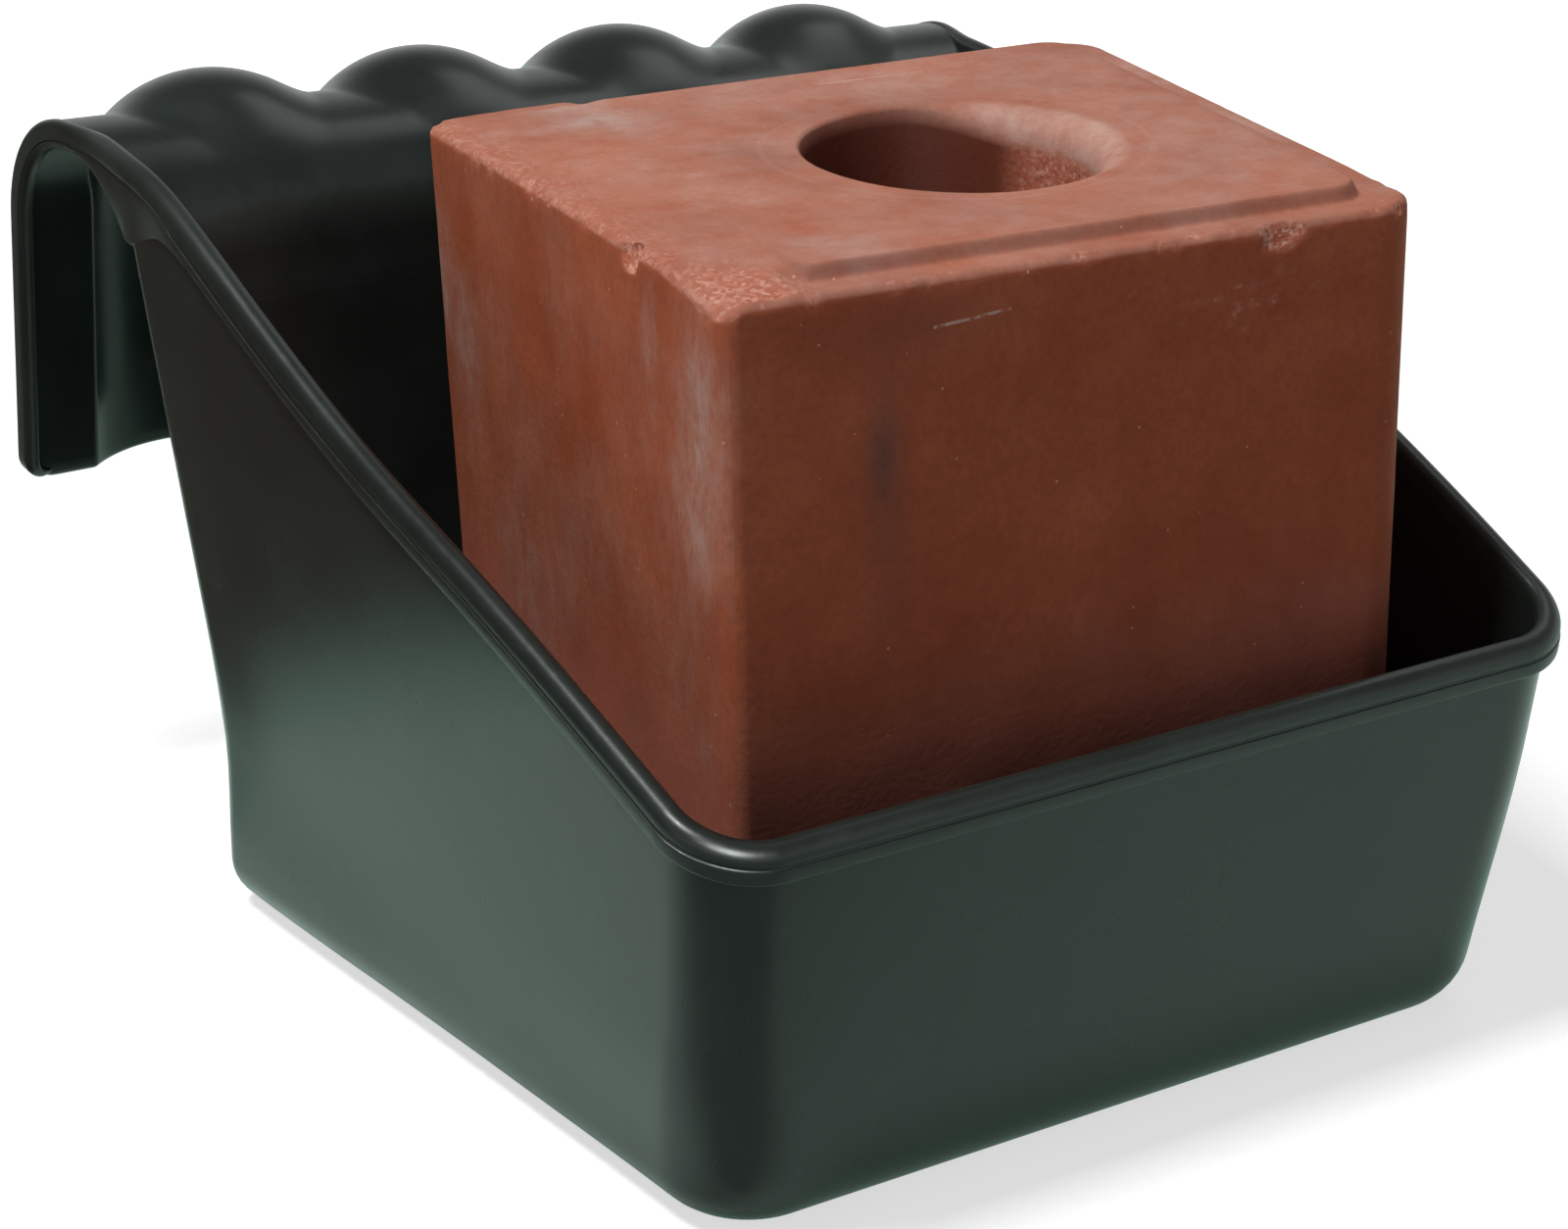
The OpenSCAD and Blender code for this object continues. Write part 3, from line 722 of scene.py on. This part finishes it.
# dried salt film: middle, half widths and strength of each patch
bloom = spots(grid, [
    ((-67, 68, 251), (14, 9, 6), 1.0), ((-71, 87, 251), (16, 6, 6), 0.9), ((-60, 51, 251), (12, 8, 6), 0.6),
    ((-60, -76, 251), (14, 8, 6), 1.0), ((40, 60, 251), (40, 14, 6), 0.35), ((-20, 70, 251), (40, 16, 6), 0.3),
    ((80, 10, 251), (16, 60, 6), 0.45), ((102, 20, 247), (5, 70, 6), 0.8), ((60, -60, 251), (24, 20, 6), 0.3),
    ((-108, 73, 181), (6, 9, 22), 1.0), ((-108, 92, 205), (6, 8, 18), 0.9), ((-108, -92, 216), (8, 9, 22), 0.75),
    ((-108, -84, 186), (8, 12, 28), 0.7), ((-108, -60, 226), (8, 5, 14), 0.7), ((-108, 10, 150), (8, 30, 26), 0.3),
    ((-108, 40, 120), (8, 24, 30), 0.25), ((-108, -70, 140), (8, 20, 24), 0.25),
]) * (0.75 + 0.6 * cloud)
bloom += 0.2 * (x < -105.0) * onSides * np.clip(0.5 + cloud, 0.0, 1.0)
# grey smudges, and painted shade on the riser along the front
smudgeAndRiserShade = spots(grid, [
    ((-62, -103, 202), (5, 8, 19), 1.0), ((-60, -103, 166), (7, 8, 18), 0.4), ((-50, -103, 235), (26, 8, 10), 0.25),
    ((8, 46, 251), (40, 9, 6), 0.4), ((-44, 8, 251), (12, 18, 6), 0.4), ((93, 10, 251), (2, 80, 6), 0.4),
]) * (0.8 + 0.5 * cloud)
# painted shade: the front riser is darkened
smudgeAndRiserShade += 0.35 * (onBorder * smoothStep(247.2, 248.2, z) * smoothStep(-70.0, -88.0, y))
# the hole is painted dark inside as shade, except its crumbly right wall where the key light falls, which is painted
# pale as painted light, as is the lip beside it
fromHole = np.hypot(x - block["holeX"], y - block["holeY"])
toRight = (x - block["holeX"]) / np.maximum(fromHole, 1.0)
lit = smoothStep(0.66, 0.95, toRight)
# painted shade inside the hole, away from the lit right wall
stain = 0.8 * inHole * (1.0 - lit)
# painted light: the lit upper right wall of the hole takes the pale broken colour
rawAndPaintedLight = np.maximum(rawAndPaintedLight, 0.75 * lit * inHole * smoothStep(185.0, 235.0, z))
# dust on the panel and border, also painting the top's sheen; beside the hole's lit side the lip is painted paler as
# painted light
dusty = (1.0 * onPanel + 0.9 * onBorder) * (0.75 + 0.5 * cloud)
dusty = np.maximum(dusty, 1.6 * smoothStep(0.0, 0.7, toRight) * onPanel * smoothStep(54.0, 45.0, fromHole))
flecks = spots(grid, [((50, -103, 227), (20, 8, 7), 1.0), ((20, -103, 232), (10, 8, 4), 0.6)])
rawAndPaintedLight = np.maximum(rawAndPaintedLight, 0.8 * (flecks * smoothStep(0.25, 0.55, valueNoise(grid, 2.6, 31))))
# a paler, purpler tone low on the sides and underside: a purple tint, and painted fill light where the trough's walls
# shade the block
purpleTintAndPaintedFill = smoothStep(165.0, 60.0, z + 26.0 * cloud - 0.12 * x) * (kinds[:, None] <= 1)
# moved out of square, then turned and set down
right = (worn[..., 0] + block["halfX"]) / (2 * block["halfX"])
rear = (worn[..., 1] + block["halfY"]) / (2 * block["halfY"])
hold = np.clip(rear, 0.0, 1.0)
below = block["height"] - np.minimum(z, block["height"])
outside = kinds[:, None] < 3
(leftX, leftY), (rightX, rightY) = block["skew"]
worn[..., 0] += hold * (leftX * (1.0 - right) + rightX * right) + block["lean"] * below * outside
worn[..., 0] += (block["taper"] * below * (1.0 - right) * rear - block["frontIn"] * right * (1.0 - rear)) * outside
worn[..., 1] += hold * (leftY * (1.0 - right) + rightY * right)
worn[..., 2] += block["rise"] * hold * np.clip(right, 0.0, 1.0) * smoothStep(120.0, 247.0, z)
turn = math.radians(block["turn"])
spin = np.array([[math.cos(turn), math.sin(turn), 0.0], [-math.sin(turn), math.cos(turn), 0.0], [0.0, 0.0, 1.0]])
placed = worn @ spin + np.array(block["place"])
finish = {"rawAndPaintedLight": rawAndPaintedLight, "bloom": bloom, "smudgeAndRiserShade": smudgeAndRiserShade, "purpleTintAndPaintedFill": purpleTintAndPaintedFill}
finish = {key: np.clip(numbers, 0, 1) for key, numbers in finish.items()}
finish.update(dusty=np.clip(dusty, 0, 3), stain=stain, pressed=grid)
mineralBlock = makePiece("mineralBlock", [(placed, False, True)], finish, 0.01, 60.0)
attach(mineralBlock, "block")
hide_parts("mineral_block")


# Finishes

def mouldedPolyethylene():
    # dark green-black polyethylene, injection moulded: half-gloss skin, faint flow waves, fine rubbed scuffs
    material, tree, place = newMaterial("moulded_polyethylene_green_black")
    flow = noise(tree, place, size=0.045, detail=3.0)
    peel = noise(tree, place, size=0.0016, detail=2.0)   # orange peel
    tone = toneRamp(tree, flow, (0.32, "#1a1f1d"), (0.7, "#222926"))
    gloss = remap(tree, flow, (0.3, 0.7), (0.22, 0.29))
    # the rim is rubbed dull by feeding, in streaks 4 mm long
    streak = noise(tree, place, size=0.004, detail=4.0, roughness=0.7)
    dull = product(tree, streak, attribute(tree, "rubbed"))
    dull = calculate(tree, "MULTIPLY_ADD", dull, 0.28, gloss)
    ripple = addNode(tree, "Bump", {"Height": flow, "Strength": 0.05, "Distance": 0.004})
    skin = addNode(tree, "Bump", {
        "Height": peel, "Strength": 0.06, "Distance": 0.0004, "Normal": ripple.outputs["Normal"]})
    shader = addNode(tree, "BsdfPrincipled", {
        "Base Color": tone, "Roughness": dull, "IOR": 1.44,
        "Specular Tint": "#f0f6f2", "Normal": skin.outputs["Normal"]})
    return closeMaterial(material, shader.outputs["BSDF"])


def scratch(tree, across, up, spot, halfLength, slope, halfWidth):
    # 1 within half a width of a sloped line through the spot, 0 elsewhere
    along = calculate(tree, "SUBTRACT", across, spot[0])
    level = calculate(tree, "MULTIPLY_ADD", along, -slope, up)
    near = calculate(tree, "COMPARE", level, spot[1], halfWidth)
    within = calculate(tree, "COMPARE", along, 0.0, halfLength)
    return product(tree, near, within)


def pressedMineral():
    # salt and clay pressed under load: red-brown, close matt grain, salt specks, pale dust and raw broken edges, with
    # painted sheen on the top, painted light by the hole, painted shade in it and on the front riser, and painted fill
    # light low down
    material, tree, place = newMaterial("pressed_mineral_salt_red")
    rawAndPaintedLight, bloom, smudgeAndRiserShade, purpleTintAndPaintedFill, dusty, stain = (
        attribute(tree, key) for key in ("rawAndPaintedLight", "bloom", "smudgeAndRiserShade", "purpleTintAndPaintedFill", "dusty", "stain"))
    always = (0.0, 1.0)
    patch = noise(tree, place, size=0.038, detail=5.0, roughness=0.62)
    grain = noise(tree, place, size=0.0022, detail=3.0, roughness=0.6)
    colour = toneRamp(tree, patch, (0.3, "#964a2d"), (0.72, "#b16243"))
    colour = blend(tree, remap(tree, grain, (0.35, 0.68), (0.0, 0.3)), colour, "#7b3b28")
    # low on the sides: purple tint and painted fill light
    colour = blend(tree, purpleTintAndPaintedFill, colour, "#b0685a")
    # painted shade inside the hole
    colour = blend(tree, stain, colour, "#4e2219")
    # pale dust lies on the top, thicker in drifts 12 mm across; it also paints the top's sheen and the light on the
    # hole's lit lip
    drift = noise(tree, place, size=0.012, detail=5.0, roughness=0.7)
    dustAndLightShare = product(tree, dusty, remap(tree, drift, (0.3, 0.7), (0.14, 0.4)))
    colour = blend(tree, dustAndLightShare, colour, "#d0b6ab")
    # grey smudges, and the front riser's painted shade
    colour = blend(tree, product(tree, smudgeAndRiserShade, 0.7), colour, "#5d4744")
    # dried salt film, broken up along the press marks, 6 mm across and 13 mm tall
    film = {"Vector": place, "Scale": (1 / 0.006, 1 / 0.006, 1 / 0.013)}
    film = addNode(tree, "Mapping", film).outputs["Vector"]
    wisp = noise(tree, film, size=1.0, detail=6.0, roughness=0.78)
    dust = product(tree, bloom, remap(tree, wisp, (0.36, 0.66), (0.12, 0.75)))
    colour = blend(tree, dust, colour, "#b9a39a")
    # broken faces show crumbs 1.3 mm across, from brick red to salt; on the hole's lit right wall the same pale crumbs
    # are painted light
    crumb = cells(tree, place, size=0.0013)["Color"]
    pale = addNode(tree, "SeparateColor", {"Color": crumb}).outputs["Green"]
    broken = blend(tree, calculate(tree, "POWER", pale, 2.2), "#a9604b", "#cf9d8c")
    colour = blend(tree, product(tree, rawAndPaintedLight, 0.85), colour, broken)
    # a scratch on the front, one along the back of the panel, and a ring pressed round the hole
    pressed = attribute(tree, "pressed", "Vector")
    across, deep, up = vectorParts(tree, pressed)
    front = calculate(tree, "LESS_THAN", deep, 1.0 - block["halfY"])
    line = scratch(tree, across, up, spot=(-35.5, 234.4), halfLength=11.5, slope=0.085, halfWidth=0.42)
    line = product(tree, front, line)
    top = calculate(tree, "GREATER_THAN", up, block["height"] + 3.0)
    thread = scratch(tree, across, deep, spot=(22.0, 75.0), halfLength=17.0, slope=-0.02, halfWidth=0.7)
    thread = product(tree, top, thread)
    flat = addNode(tree, "CombineXYZ", {"X": across, "Y": deep}).outputs["Vector"]
    apart = calculateVector(tree, "DISTANCE", "Value", flat, (block["holeX"], block["holeY"], 0.0))
    ring = calculate(tree, "COMPARE", apart, 55.0, 0.9)
    ring = product(tree, ring, top)
    marks = calculate(tree, "MULTIPLY_ADD", ring, 0.13, line)
    marks = calculate(tree, "MULTIPLY_ADD", thread, 0.6, marks)
    marks = product(tree, marks, remap(tree, grain, (0.38, 0.55), (0.0, 0.75)))
    colour = blend(tree, marks, colour, "#cfb4a6")
    # salt shows as small pale dots 5 mm apart, more of them where the face is broken
    specks = cells(tree, place, size=0.005)
    dot = calculate(tree, "LESS_THAN", specks["Distance"], remap(tree, rawAndPaintedLight, always, (0.075, 0.16)))
    some = addNode(tree, "SeparateColor", {"Color": specks["Color"]}).outputs["Red"]
    dot = product(tree, dot, calculate(tree, "GREATER_THAN", some, 0.86))
    colour = blend(tree, product(tree, dot, 0.5), colour, "#d9b3a4")
    lump = remap(tree, rawAndPaintedLight, always, (0.1, 0.55))
    bumps = addNode(tree, "Bump", {"Height": grain, "Strength": lump, "Distance": 0.0016})
    shader = addNode(tree, "BsdfPrincipled", {
        "Base Color": colour, "Roughness": remap(tree, rawAndPaintedLight, always, (0.62, 0.85)), "IOR": 1.5,
        "Specular IOR Level": 0.06, "Normal": bumps.outputs["Normal"]})
    return closeMaterial(material, shader.outputs["BSDF"])


hookTrough.data.materials.append(mouldedPolyethylene())
mineralBlock.data.materials.append(pressedMineral())
print("finishes set")


# Stage: pale floor, soft light from above and behind on the left, and the camera

stage = {
    "floorHalf": 9.0, "floorColour": "#b4b4b4", "dimColour": "#202020", "paintedReflectionTint": "#c2f0da",
    "glowAway": (0.3, 1.1), "floorGlow": (0.66, 0.95),
    "wedgeCorner": (-0.13, -0.14, 0.0), "wedgeHeading": (-0.574, -0.819, 0.0), "wedgeDim": 0.45,
    "footHalf": (0.145, 0.138, 0.0), "footSoft": 0.012, "footDim": 0.55,
    # the card's two leaves seen from above, their height, and how far up they fade in
    "cardLines": (((-0.75, -0.045), (-0.187, 0.246)), ((-0.187, 0.17), (-0.187, 0.32))),
    "cardTop": 0.34, "cardFade": 0.05,
    "skyDiffuse": 0.43, "zenith": 0.12, "skyTurn": (0.05, 0.6),
    "lamps": (   # place, aim, size, watts, and whether it only gives reflections
        ((-1.09, -0.09, 2.5), (0.0, 0.0, 0.15), 0.45, 60.0, False),
        ((0.9, 0.5, 1.6), (0.0, 0.0, 0.15), 0.8, 3.0, False),
        ((-0.95, -1.9, 1.6), (0.0, -0.1, 0.12), 1.2, 130.0, True),
    ),
    "eye": (-0.53831, -0.83024, 0.49977), "azimuth": -31.63, "elevation": 21.50, "roll": -0.49, "lens": 81.31,
}


def backgroundRays(tree):
    # 1 for the rays that see the background as it is written, and 1 for the reflections among them
    path = addNode(tree, "LightPath").outputs
    seen = calculate(tree, "MAXIMUM", path["Is Camera Ray"], path["Is Glossy Ray"])
    return calculate(tree, "MAXIMUM", seen, path["Is Transmission Ray"]), path["Is Glossy Ray"]


def paleFloor():
    # matt painted board; the camera sees part of it as plain white, so only the shadow shows, and glossy rays see that
    # part green-tinted, a painted reflection tint on the trough's walls
    material, tree, place = newMaterial("matt_white_board")
    seen, glossy = backgroundRays(tree)
    away = calculateVector(tree, "LENGTH", "Value", place)
    share = remap(tree, away, stage["glowAway"], stage["floorGlow"], "SMOOTHSTEP")
    share = product(tree, seen, share)
    # reflections find the floor dimmer in a wedge off the near corner, a painted dark reflection on the trough's
    # corner, and close under the walls, a painted shadow
    ray = calculateVector(tree, "SUBTRACT", "Vector", place, stage["wedgeCorner"])
    ray = calculateVector(tree, "NORMALIZE", "Vector", ray)
    facing = calculateVector(tree, "DOT_PRODUCT", "Value", ray, stage["wedgeHeading"])
    wedge = remap(tree, facing, (-0.1, 0.7), (1.0, stage["wedgeDim"]), "SMOOTHSTEP")
    side = calculateVector(tree, "ABSOLUTE", "Vector", place)
    side = calculateVector(tree, "SUBTRACT", "Vector", side, stage["footHalf"])
    sideX, sideY, _ = vectorParts(tree, side)
    out = calculate(tree, "MAXIMUM", sideX, sideY)
    under = remap(tree, out, (-stage["footSoft"], stage["footSoft"]), (stage["footDim"], 1.0), "SMOOTHSTEP")
    dim = product(tree, wedge, under)
    dim = addNode(tree, "Mix", {"Factor": glossy, "A": 1.0, "B": dim}).outputs["Result"]
    matt = addNode(tree, "BsdfDiffuse", {
        "Color": blend(tree, dim, stage["dimColour"], stage["floorColour"])})
    glow = addNode(tree, "Emission", {
        # painted reflection: glossy rays see the glow green-tinted
        "Color": blend(tree, glossy, "#ffffff", stage["paintedReflectionTint"]),
        "Strength": product(tree, share, dim)})
    both = addNode(tree, "AddShader", {0: matt.outputs["BSDF"], 1: glow.outputs["Emission"]})
    return closeMaterial(material, both.outputs["Shader"])


def darkFelt():
    # a painted dark reflection: emitted felt colours that fade out toward the floor into the floor's reflected tint
    material, tree, place = newMaterial("dark_felt_card")
    height = vectorParts(tree, place)["Z"]
    fade = remap(tree, height, (0.0, stage["cardFade"]), (0.0, 1.0), "SMOOTHSTEP")
    tone = blend(tree, noise(tree, place, size=0.05, detail=2.0), "#453a33", "#685a50")
    glow = addNode(tree, "Emission", {
        "Color": blend(tree, fade, stage["paintedReflectionTint"], tone), "Strength": 1.0})
    return closeMaterial(material, glow.outputs["Emission"])


def addBoard(name, corners, material):
    # one flat face for every four corners
    mesh = bpy.data.meshes.new(name)
    mesh.from_pydata(corners, [], [tuple(range(i, i + 4)) for i in range(0, len(corners), 4)])
    mesh.materials.append(material)
    board = bpy.data.objects.new(name, mesh)
    scene.collection.objects.link(board)
    return board


half = stage["floorHalf"]
corners = [(-half, -half, 0.0), (half, -half, 0.0), (half, half, 0.0), (-half, half, 0.0)]
floor = addBoard("paleFloor", corners, paleFloor())

# a folded dark card behind on the left, seen only in reflections, gives the side wall and the hook their depth as a
# painted dark reflection
corners = []
for (x0, y0), (x1, y1) in stage["cardLines"]:
    corners += [(x0, y0, 0.0), (x1, y1, 0.0), (x1, y1, stage["cardTop"]), (x0, y0, stage["cardTop"])]
card = addBoard("darkCard", corners, darkFelt())
card.visible_camera = card.visible_diffuse = card.visible_shadow = False

world = bpy.data.worlds.new("softSky")
world.use_nodes = True
tree = world.node_tree
tree.nodes.clear()
level = remap(tree, backgroundRays(tree)[0], (0.0, 1.0), (stage["skyDiffuse"], 1.0))
# white round the horizon, greyer overhead
skyward = addNode(tree, "TexCoord").outputs["Generated"]
upward = vectorParts(tree, skyward)["Z"]
level = product(tree, level, remap(tree, upward, stage["skyTurn"], (1.0, stage["zenith"])))
sky = addNode(tree, "Background", {"Color": "#ffffff", "Strength": level})
addNode(tree, "OutputWorld", {"Surface": sky.outputs["Background"]})
scene.world = world


def standAt(place, across, up, back):
    # columns are the three directions and the place
    return Matrix([[across[k], up[k], back[k], place[k]] for k in range(3)] + [[0, 0, 0, 1]])


for i, (place, aim, size, watts, sheenOnly) in enumerate(stage["lamps"]):
    lamp = bpy.data.lights.new("softLamp%d" % (i + 1), "AREA")
    lamp.shape, lamp.size, lamp.energy = "SQUARE", size, watts
    holder = bpy.data.objects.new(lamp.name, lamp)
    back = np.array(place) - np.array(aim)
    back = back / np.linalg.norm(back)
    across = np.cross((0.0, 1.0, 0.0), back)
    across = across / np.linalg.norm(across)
    holder.matrix_world = standAt(place, across, np.cross(back, across), back)
    holder.visible_diffuse = not sheenOnly
    scene.collection.objects.link(holder)

az, el, roll = (math.radians(stage[key]) for key in ("azimuth", "elevation", "roll"))
back = np.array([math.sin(az) * math.cos(el), -math.cos(az) * math.cos(el), math.sin(el)])
across = np.array([math.cos(az), math.sin(az), 0.0])
up = np.cross(back, across)
rolledAcross = math.cos(roll) * across + math.sin(roll) * up
rolledUp = -math.sin(roll) * across + math.cos(roll) * up
lens = bpy.data.cameras.new("photoCamera")
lens.sensor_fit, lens.sensor_width, lens.lens = "HORIZONTAL", 36.0, stage["lens"]
lens.clip_start, lens.clip_end = 0.01, 100.0
camera = bpy.data.objects.new("photoCamera", lens)
camera.matrix_world = standAt(stage["eye"], rolledAcross, rolledUp, back)
scene.collection.objects.link(camera)
scene.camera = camera
print("stage set")
